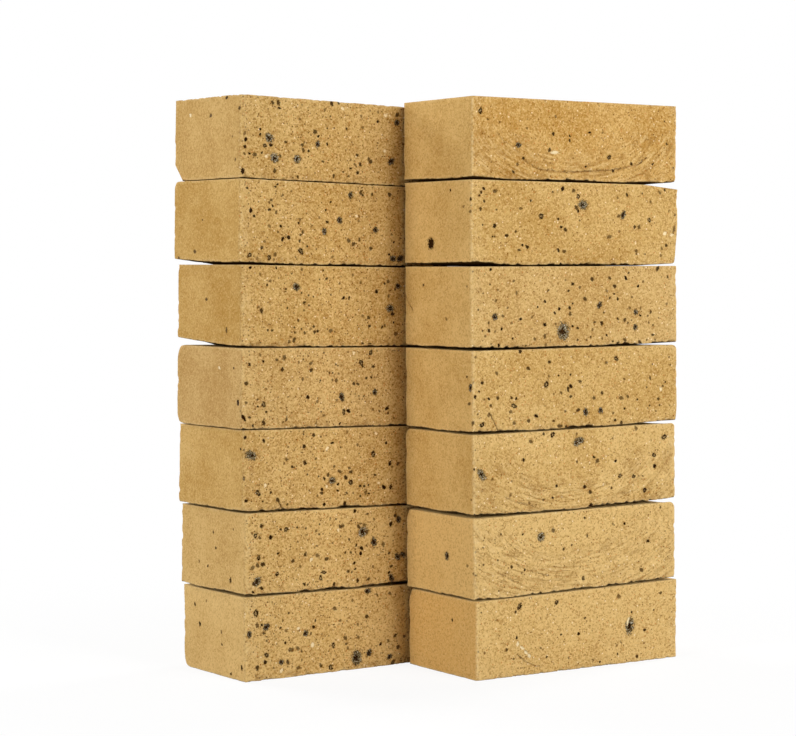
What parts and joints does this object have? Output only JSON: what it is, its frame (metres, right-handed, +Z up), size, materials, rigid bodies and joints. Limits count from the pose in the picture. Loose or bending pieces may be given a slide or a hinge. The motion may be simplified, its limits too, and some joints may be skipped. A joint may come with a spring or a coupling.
{
  "type": "stack of bricks",
  "caption": "Solid buff wire-cut clay bricks stacked dry on their beds in free-standing columns, side by side and staggered, for laying or as stored stock.",
  "frame": {"origin": "on the ground, under the middle of the whole stack's box", "axes": "+X along the bricks' length, +Y across the bricks from the right column to the left column, +Z up"},
  "size_m": [0.387, 0.216, 0.4803],
  "materials": {
    "buff_brick": "matte fired clay with dark iron spots, smooth on the ends and drag-textured on the long faces"
  },
  "bodies": {
    "root": {"left_brick_1": "buff_brick", "left_brick_2": "buff_brick", "left_brick_3": "buff_brick", "left_brick_4": "buff_brick", "left_brick_5": "buff_brick", "left_brick_6": "buff_brick", "left_brick_7": "buff_brick", "right_brick_1": "buff_brick", "right_brick_2": "buff_brick", "right_brick_3": "buff_brick", "right_brick_4": "buff_brick", "right_brick_5": "buff_brick", "right_brick_6": "buff_brick", "right_brick_7": "buff_brick"}
  },
  "joints": []
}
